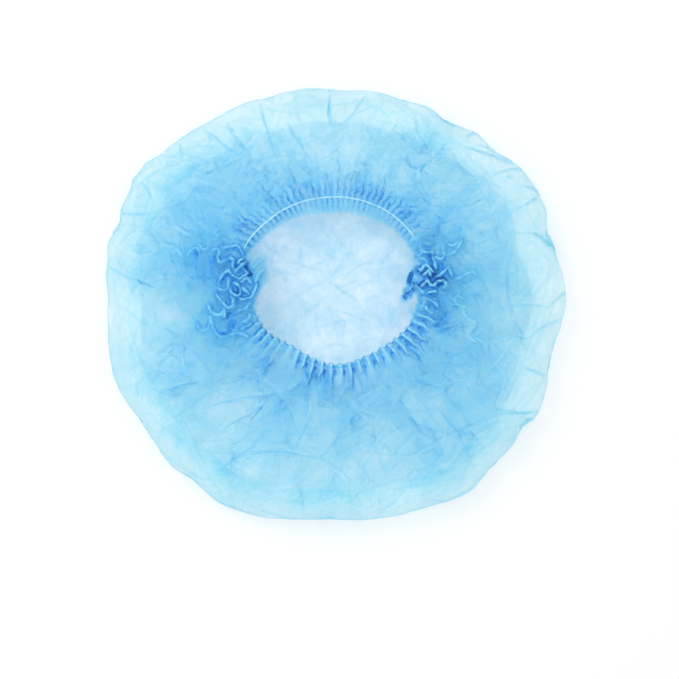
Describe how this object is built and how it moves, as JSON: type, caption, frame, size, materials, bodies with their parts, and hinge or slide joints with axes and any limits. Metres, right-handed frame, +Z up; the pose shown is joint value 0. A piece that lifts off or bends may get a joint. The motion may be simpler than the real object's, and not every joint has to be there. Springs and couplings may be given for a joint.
{
  "type": "bouffant cap",
  "caption": "Light blue pleated nonwoven bouffant cap with an elastic hem, lying open side up on its flat crown.",
  "frame": {"origin": "on the surface that the cap lies on, under the middle of its width and depth", "axes": "+Z up out of the opening, +X across the cap's width to the right of the picture, +Y along its depth to the top of the picture"},
  "size_m": [0.533, 0.503, 0.0692],
  "materials": {
    "crown_cloth": "thin see-through light blue nonwoven cloth, crumpled, matt",
    "hem_cloth": "thin pleated light blue nonwoven cloth, matt",
    "elastic_cord": "pale covered elastic cord, matt",
    "end_folds_cloth": "bunched nonwoven cloth, several layers deep, matt",
    "end_tails_cloth": "tightly bunched nonwoven cloth, many layers deep, matt"
  },
  "bodies": {
    "root": {"crown": "crown_cloth", "hem": "hem_cloth", "elastic": "elastic_cord", "end_folds_left": "end_folds_cloth", "end_folds_right": "end_folds_cloth", "end_tail_left": "end_tails_cloth", "end_tail_right": "end_tails_cloth"}
  },
  "joints": []
}
